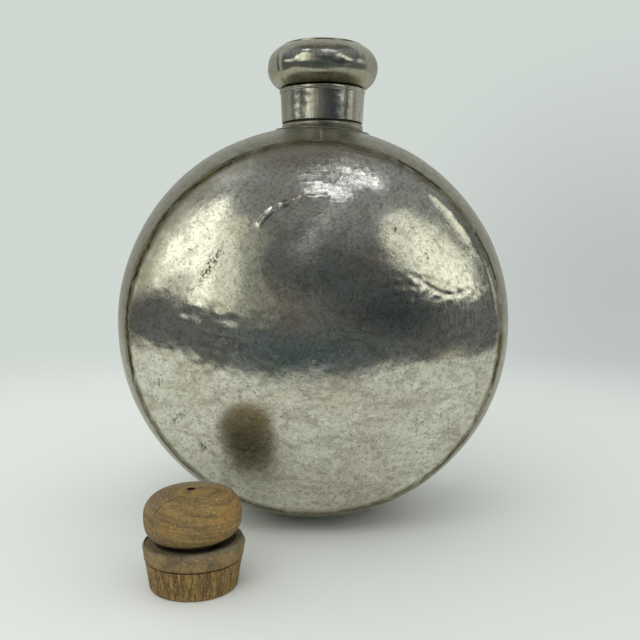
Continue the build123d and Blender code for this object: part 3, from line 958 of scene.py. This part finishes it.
def saddle():
    """The plate round the neck's root, dressed down on the band, its two ends a little sprung."""
    around = 360
    turn = full_turn(around)
    inside = tube_radius + 0.3 * mm
    reach = saddle_radius - 0.15 * mm + 0.15 * mm * np.cos(5 * turn + 1)
    rows = []
    for share, lift in (
        (0, -0.5), (0, 0.75), (0.3, 0.72), (0.6, 0.66), (0.85, 0.6), (1, 0.5), (1, -0.05), (0.6, -0.3),
    ):
        radius = inside + share * (reach - inside)
        across, deep = neck_offset + radius * np.cos(turn), radius * np.sin(turn)
        sprung = 0.9 * mm * share**2 * np.cos(turn) ** 8
        rows.append(np.stack([across, deep, on_band_top(across, deep) + lift * mm + sprung], -1))
    faces = grid_faces(around, len(rows), closed_rows=True, closed_columns=True)
    return new_object("saddle_plate", np.stack(rows, 1), faces, band_look)


def neck_places(turn, height, tall):
    """Places round a turned piece for ripples: tall is the height that counts as one radius."""
    return np.stack([np.cos(turn), np.sin(turn), height / tall], -1)


def wobble(depth, seed):
    """A warp for a turned piece: a smooth unevenness of depth."""
    return lambda turn, radius, height: depth * ripples(neck_places(turn, height, 9 * mm), 0.7, seed)


def root_ring():
    """The plain ring at the foot of the tube, with its gap below the collar."""
    (_, _, low), (_, _, high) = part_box("neck_root_ring")
    outside, top = tube_radius + 1 * mm, high - 0.7 * mm
    profile = [(tube_radius, low), (outside + 0.3 * mm, low), (outside + 0.1 * mm, top - 1.5 * mm)]
    profile += [(outside + 0.1 * mm, top - 0.5 * mm), (outside - 0.2 * mm, top - 0.1 * mm)]
    profile += [(outside - 0.5 * mm, top), (tube_radius, top)]
    return turned_ring("root_ring", profile, ring_look, wobble(0.05 * mm, 51))


def collar():
    """The collar, a sleeve that widens a little upwards, beaten a little out of round."""
    (_, _, low), (_, _, high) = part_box("neck_collar")
    foot, head, inside = tube_radius + 1.3 * mm, tube_radius + 2.3 * mm, tube_radius + slip
    profile = [(foot - 0.35 * mm, low), (foot - 0.1 * mm, low + 0.12 * mm), (foot, low + 0.4 * mm)]
    profile += line((foot, low + 0.5 * mm), (head, high), 40) + [(head, high)]
    profile += line((inside, high), (inside, low), 4) + [(inside, low)]

    def warp(turn, radius, height):
        fine = neck_places(turn, height, 26 * mm)
        shape = 0.05 * mm * ripples(neck_places(turn, height, 40 * mm), 0.7, 52)
        shape += 0.020 * mm * ripples(fine, 0.28, 53) + 0.003 * mm * ripples(fine, 0.12, 56)
        return np.where(radius > tube_radius + 0.5 * mm, shape, 0)

    return turned_ring("collar", profile, neck_look, warp, segments=720)


def bead():
    """The bead between the collar and the bulb."""
    (_, _, low), (_, _, high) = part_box("neck_bead")
    crest, half, inside = tube_radius + 3.1 * mm, (high - low) / 2, tube_radius + slip
    profile = [(inside, low), (crest - bead_rounding, low)]
    for angle in np.linspace(-1.2, 1.2, 15):
        profile.append((crest - bead_rounding * (1 - cos(angle)), low + half + half * sin(angle)))
    profile += [(crest - bead_rounding, high), (inside, high)]
    return turned_ring("bead", profile, neck_look, wobble(0.06 * mm, 54))


def bulb():
    """The hollow bulb with its hammered dents and a crease down its left side, one sheet thick."""
    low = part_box("mouth_bulb")[0][2]
    middle = bulb_radius - bulb_section_radius
    foot = -degrees(acos((tube_radius - middle) / bulb_section_radius))
    head = degrees(acos((tube_radius + 1 * mm - middle) / bulb_section_radius))
    height = low + sqrt(bulb_section_radius**2 - (tube_radius - middle) ** 2)
    outside = arc((middle, height), bulb_section_radius, foot, head, 72)
    inside = arc((middle, height), bulb_section_radius - sheet, foot, head, 72)[::-1]
    rng = np.random.default_rng(57)
    spreads = ((0, 360), (-60, 80), (2.0, 6), (5, 16), (-0.30, 0.17))
    marks = [[rng.uniform(*spread) for spread in spreads] for _ in range(240)]

    def warp(turn, radius, up):
        share = np.clip((radius - tube_radius) / (bulb_radius - tube_radius), 0, 1)
        side = np.degrees(turn) % 360
        tilt = np.degrees(np.arctan2(up - height, radius - middle))
        shape = 0.10 * mm * ripples(neck_places(turn, up, 30 * mm), 0.7, 55) - 0.45 * mm
        for place, rise, wide, tall, lift in marks:
            beside, above = degrees_apart(side, place) / wide, (tilt - rise) / tall
            shape = shape + lift * mm * np.exp(-(beside**2) - above**2)
        for place, wide, lift in ((219, 2.4, -0.35), (214, 2.6, 0.15)):
            shape = shape + lift * mm * np.exp(-((degrees_apart(side, place) / wide) ** 2))
        return shape * share

    return turned_ring("bulb", outside + inside, neck_look, warp, segments=540)


def mouth_ring():
    """The ring that stiffens the mouth, with rounded edges."""
    (_, _, low), (_, _, high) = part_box("mouth_ring")
    outside, edge = neck_bore_radius + 2 * mm, high - mouth_rounding
    profile = [(neck_bore_radius, low), (outside, low)]
    profile += line((outside, low + mouth_rounding), (outside, edge), 4)
    profile += arc((outside - mouth_rounding, edge), mouth_rounding, 0, 90, 6)
    profile += arc((neck_bore_radius + mouth_rounding, edge), mouth_rounding, 90, 180, 6)
    return turned_ring("mouth_rim", profile, neck_look, wobble(0.05 * mm, 59))


# The stopper

def stopper_profile():
    """The stopper's outline from the middle of its foot to the bottom of the knob's hole."""
    flange_head = plug_height + flange_height
    waist = knob_radius - knob_rim_radius
    lower = flange_head + knob_lift + knob_rim_radius
    upper = lower + knob_band_height
    crown_reach = knob_crown_radius - knob_rim_radius
    crown_height = upper - sqrt(crown_reach**2 - waist**2)
    spread = degrees(asin(waist / crown_reach))
    hole_turn = 90 - degrees(asin(knob_hole_radius / knob_crown_radius))
    top = crown_height + knob_crown_radius
    ledge, neck = plug_head_radius + flange_ledge, waist - flange_dish
    flange_edge, flange_middle = flange_head - flange_rounding, flange_skin - flange_rounding
    foot_middle = plug_foot_radius - plug_rounding
    groove = plug_head_radius - 0.7 * mm
    outline = line((0.4 * mm, 0), (foot_middle, 0), 14)
    outline += arc((foot_middle, plug_rounding), plug_rounding, -90, -8, 8)
    outline += line((plug_foot_radius + 0.02 * mm, 1.9 * mm), (plug_head_radius, plug_height - 0.5 * mm), 46)
    outline += [(plug_head_radius, plug_height - 0.5 * mm), (groove, plug_height - 0.2 * mm)]
    outline += [(groove, plug_height + 0.1 * mm), (ledge, plug_height + 0.4 * mm)]
    outline += line((ledge + 0.1 * mm, plug_height + 0.7 * mm), (flange_skin - 0.1 * mm, flange_edge), 16)
    outline += arc((flange_middle, flange_edge), flange_rounding, 0, 90, 14)
    dished = flange_head - flange_dish
    outline += line((flange_middle - 0.4 * mm, flange_head - 0.03 * mm), (neck, dished), 22)
    outline += [(neck, dished), (neck, flange_head)]
    outline += arc((waist, lower), knob_rim_radius, -96, 0, 44)
    outline += line((knob_radius, lower + 0.4 * mm), (knob_radius, upper), 8)
    outline += arc((waist, upper), knob_rim_radius, 0, 90 - spread, 40)
    outline += arc((0, crown_height), knob_crown_radius, 90 - spread + 0.25, hole_turn, 34)
    pit = top - knob_hole_depth
    outline += line((knob_hole_radius - 0.15 * mm, top - 0.3 * mm), (knob_hole_radius - 0.6 * mm, pit), 8)
    return np.array(outline + [(0.3 * mm, pit)]), flange_head


def stopper():
    """The stopper in one piece: plug, flange, waist and a knob that leans a little to the left."""
    profile, flange_head = stopper_profile()
    segments, count = 540, len(profile)
    turn = full_turn(segments)[:, None]
    radius, height = profile[None, :, 0] + 0 * turn, profile[None, :, 1] + 0 * turn
    places = np.stack([radius * np.cos(turn), radius * np.sin(turn), height], -1)
    body = step_up(radius, 3 * mm, 12 * mm)
    fibres = places / np.array([1, 1, 7])
    rough = 0.10 * mm * ripples(fibres, 2.6 * mm, 61, 40) + 0.05 * mm * ripples(fibres, 1.3 * mm, 62, 40)
    round_error = 0.2 * mm * ripples(places, 50 * mm, 63)
    side = step_up(height, 0.2 * mm, 2 * mm) * (1 - 0.7 * step_up(height, 22 * mm, 26 * mm))
    radius = radius + body * np.minimum(round_error + side * rough - 0.2 * mm, -0.02 * mm)
    x, y = radius * np.cos(turn), radius * np.sin(turn)
    above = np.maximum(height - flange_head, 0)
    lean = np.where(height > flange_head - 0.5 * mm, knob_lean, 0.0)
    z = height + (above * (np.cos(lean) - 1) + x * np.sin(lean))
    x = x * np.cos(lean) - above * np.sin(lean)
    points = np.stack([stopper_spot[0] + x, stopper_spot[1] + y, np.maximum(z, 0)], -1)
    faces = grid_faces(segments, count, closed_rows=True)
    foot = [k * count for k in range(segments)]
    faces += [foot[::-1], [corner + count - 1 for corner in foot]]
    return new_object("turned_stopper", points, faces, wood_look)


# The pieces, and the nodes that they stand for
flask_pieces = {
    "front_shell": face("front_face_beaten", front_seam_turn, front_dents, front_cracks),
    "back_shell": face("back_face_beaten", back_seam_turn, back_dents, back_cracks, back=True),
    "side_band": band(),
    "front_seam_braze": seam_braze(
        "front_seam_line", front_seam_turn, front_sectors, front_blobs, front_cracks, 71,
    ),
    "back_seam_braze": seam_braze(
        "back_seam_line", back_seam_turn, back_sectors, back_blobs, back_cracks, 74, back=True,
    ),
    "band_joint_braze_front": joint_braze("band_joint_line_front"),
    "band_joint_braze_back": joint_braze("band_joint_line_back", back=True),
    "neck_saddle": saddle(),
    "neck_root_ring": root_ring(),
    "neck_collar": collar(),
    "neck_bead": bead(),
    "mouth_bulb": bulb(),
    "mouth_ring": mouth_ring(),
}
for node, piece in flask_pieces.items():
    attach(piece, "flask")
    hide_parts(node)
wooden = stopper()
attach(wooden, "stopper")
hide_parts("stopper")
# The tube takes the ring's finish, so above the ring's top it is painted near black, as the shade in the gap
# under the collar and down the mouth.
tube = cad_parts["neck_tube"]
tube.data.materials.clear()
tube.data.materials.append(ring_look)


# Floor, light and camera

def floor():
    """A pale floor that fades into the backdrop for the eye, and ends in front of the flask in the metal."""
    look = Finish("floor")
    # Painted light: the floor is painted lighter on the left and darker on the right, for the light falling
    # off across it.
    colour = look.mix(look.ramp(look.x, -0.30, 0.40), (0.825, 0.853, 0.825), (0.765, 0.793, 0.77))
    look.put(look.surface.inputs["Base Color"], colour)
    look.surface.inputs["Roughness"].default_value = 0.6
    far = look.ramp(look.length(look.places), 0.45, 1.1)
    bowed = look.calc("ADD", look.y, look.ramp(look.calc("ABSOLUTE", look.x), 0.08, 0.32, 0.0, 0.045))
    short = look.most(
        look.ramp(bowed, floor_front - 0.045, floor_front + 0.015, 1.0, 0.0),
        look.ramp(look.plus(look.y, look.x, -0.55), -0.77, -0.70, 1.0, 0.0),
        look.ramp(look.x, -0.95, -0.91, 1.0, 0.0),
    )
    seen = look.add("ShaderNodeLightPath").outputs["Is Camera Ray"]
    gone = look.add("ShaderNodeMix", {0: seen, 2: short, 3: far}, data_type="FLOAT").outputs[0]
    clear = look.add("ShaderNodeBsdfTransparent").outputs[0]
    blend = look.add("ShaderNodeMixShader", {0: gone, 1: look.surface.outputs[0], 2: clear}).outputs[0]
    output = next(n for n in look.tree.nodes if n.type == "OUTPUT_MATERIAL")
    look.put(output.inputs["Surface"], blend)
    corners = [(x * floor_reach, y * floor_reach, 0) for x, y in ((-1, -1), (1, -1), (1, 1), (-1, 1))]
    new_object("floor", corners, [(0, 1, 2, 3)], look.material)


class Sky(Nodes):
    """The world's node tree under construction, with the heading and the rise of a ray in degrees."""

    def __init__(self, world):
        world.use_nodes = True
        self.tree = world.node_tree
        self.background = next(n for n in self.tree.nodes if n.type == "BACKGROUND")
        self.x, self.y, self.z = self.split(self.add("ShaderNodeTexCoord").outputs["Generated"])
        self.side = self.calc("DEGREES", self.calc("ARCTAN2", self.x, self.times(self.y, -1.0)))
        self.rise = self.calc("DEGREES", self.calc("ARCSINE", self.z))

    def above(self, value, edge, soft):
        """1 where value is over edge, with a soft step."""
        return self.ramp(self.calc("SUBTRACT", value, edge), -soft, soft)

    def pane(self, left, right, low, high, soft):
        """1 inside a panel and 0 outside. Left and right are headings, and low and high may be sockets."""
        beside = self.times(self.above(self.side, left, soft), self.above(right, self.side, soft))
        return self.times(beside, self.above(self.rise, low, soft), self.above(high, self.rise, soft))

    def slant(self, left, right, start, tall, rate, soft):
        """A panel that starts at a height straight ahead, is tall high and climbs by rate to the right."""
        return self.pane(left, right, self.slope(start, rate), self.slope(start + tall, rate), soft)

    def glow(self, side, rise, wide, tall):
        """1 in the middle of a soft round patch of directions, and 0 outside it."""
        beside = self.calc("DIVIDE", self.calc("SUBTRACT", self.side, side), wide)
        over = self.calc("DIVIDE", self.calc("SUBTRACT", self.rise, rise), tall)
        return self.ramp(self.polar(beside, over)[0], 0.0, 1.0, 1.0, 0.0)

    def slope(self, start, rate):
        """A height that is start degrees straight ahead and changes by rate for each degree to the right."""
        return self.plus(start, self.side, rate)


def dim_surroundings(sky):
    """The dark part of what the metal mirrors: grey, lighter high up, bluish low down, darker in places."""
    return sky.coats(
        sky.mix(sky.ramp(sky.rise, 18, 42), (0.150, 0.162, 0.172), (0.29, 0.30, 0.325)),
        (sky.rise, 50, 64, 1, (0.15, 0.15, 0.145)),
        (sky.rise, 66, 84, 1, (0.38, 0.38, 0.34)),
        (sky.glow(-2, -13, 36, 13), 0.9, (0.075, 0.125, 0.150)),
        (sky.glow(5, 13, 26, 22), 0.85, (0.070, 0.082, 0.092)),
        (sky.glow(-8, 4, 16, 11), 0.9, (0.21, 0.205, 0.20)),
        (sky.glow(30, 2, 30, 18), 1, (0.045, 0.055, 0.064)),
    )


def bright_panels(sky, shown):
    """The bright panels that the metal mirrors: a tall one left, one right, strips above and faint ones."""
    left_foot, left_head = sky.slope(-6.5, -0.25), sky.slope(77.7, 0.94)
    left = sky.pane(-61.5, -37.5, left_foot, left_head, 1.2)
    head_edge = sky.ramp(sky.calc("SUBTRACT", left_head, sky.rise), 8, 12, 1, 0)
    side_edge = sky.ramp(sky.side, -57, -58.5)
    right_foot = sky.calc("MAXIMUM", sky.slope(50, -0.95), sky.slope(22, -0.28))
    right_head = sky.calc("MINIMUM", sky.slope(75.6, -0.96), 36.5)
    left_fall = sky.most(
        sky.times(sky.pane(-33, -19, 12, 31, 4), 0.75),
        sky.times(sky.pane(-33, -13, -1, 14, 3), 0.6),
    )
    strips = sky.most(
        sky.slant(-4, 16, 48.5, 1.7, -0.385, 0.8),
        sky.slant(13, 33, 57.2, 1.7, -0.385, 0.8),
        sky.times(sky.pane(-50, -38, 48, 53, 1.5), 0.6),
    )
    return sky.coats(
        shown,
        (left_fall, 0.48, (0.88, 0.91, 0.81)),
        (sky.pane(45, 57, -17, -9.5, 1.0), 0.55, (0.62, 0.62, 0.55)),
        (sky.slant(-6, 10, 26.5, 3, 1.1, 1.5), 0.9, (0.75, 0.78, 0.86)),
        (sky.pane(-39, -27, left_foot, 34, 2), 0.85, (1.05, 1.09, 0.98)),
        (left, 1, (1.42, 1.47, 1.34)),
        (sky.times(left, sky.most(head_edge, side_edge, sky.glow(-43, 12, 9, 16))), 1, (1.68, 1.73, 1.62)),
        (sky.times(left, sky.pane(-57, -45, -10, 14.5, 1.0)), 1, (0.66, 0.69, 0.62)),
        (sky.pane(-84, -66, 6, 14, 1.5), 0.75, (1.8, 1.85, 1.65)),
        (sky.pane(28, 61, right_foot, right_head, 1.2), 1, (0.98, 1.02, 0.95)),
        (sky.pane(40, 60, right_foot, sky.calc("ADD", right_head, -8.0), 3), 1, (1.32, 1.36, 1.24)),
        (sky.pane(74, 92, 2, 16, 2), 0.45, (1.5, 1.5, 1.4)),
        (strips, 1, (4.6, 4.8, 5.4)),
    )


def surroundings():
    """The light all round: a pale backdrop for the eye, and for the metal bright panels in the dim."""
    world = bpy.data.worlds.new("surroundings")
    bpy.context.scene.world = world
    world.cycles.sampling_method = "NONE"
    sky = Sky(world)
    shown = sky.mix(sky.ramp(sky.y, -0.05, 0.35), dim_surroundings(sky), (0.52, 0.545, 0.52))
    shown = bright_panels(sky, shown)
    path = sky.add("ShaderNodeLightPath").outputs
    soft = sky.mix(sky.ramp(sky.rise, -5, 60), (0.73, 0.755, 0.73), (0.92, 0.94, 0.925))
    lit = sky.mix(path["Is Glossy Ray"], soft, shown)
    # Painted shade: the backdrop seen by the eye is painted darker round a spot to the right, near the
    # horizon.
    painted_shade_reach, _, _ = sky.polar(sky.calc("ADD", sky.x, -0.37), sky.calc("ADD", sky.z, 0.06))
    backdrop = sky.mix(sky.ramp(painted_shade_reach, 0.34, 0.0), (0.632, 0.684, 0.648), (0.50, 0.53, 0.515))
    sky.put(sky.background.inputs["Color"], sky.mix(path["Is Camera Ray"], lit, backdrop))


def key_light():
    """A large soft light from the upper left, in front, which the metal doesn't mirror."""
    data = bpy.data.lights.new("key", "AREA")
    data.shape = "DISK"
    data.size = key_size
    data.energy = key_energy
    data.color = (1.0, 0.985, 0.95)
    made = bpy.data.objects.new("key", data)
    made.location = key_spot
    made.rotation_euler = (key_aim - key_spot).to_track_quat("-Z", "Y").to_euler()
    made.visible_glossy = False
    bpy.context.scene.collection.objects.link(made)


def camera():
    """The camera at the photograph's place, with its lens."""
    data = bpy.data.cameras.new("photo_view")
    data.lens = focal_pixels / frame_pixels * sensor_width
    data.sensor_width = sensor_width
    made = bpy.data.objects.new("photo_view", data)
    made.matrix_world = Matrix.Translation(camera_spot)
    for turn, axis in ((-camera_yaw, "Z"), (pi / 2 - camera_pitch, "X"), (camera_roll, "Z")):
        made.matrix_world = made.matrix_world @ Matrix.Rotation(turn, 4, axis)
    bpy.context.scene.collection.objects.link(made)
    bpy.context.scene.camera = made


floor()
surroundings()
key_light()
camera()
bpy.context.scene.view_settings.view_transform = "Standard"
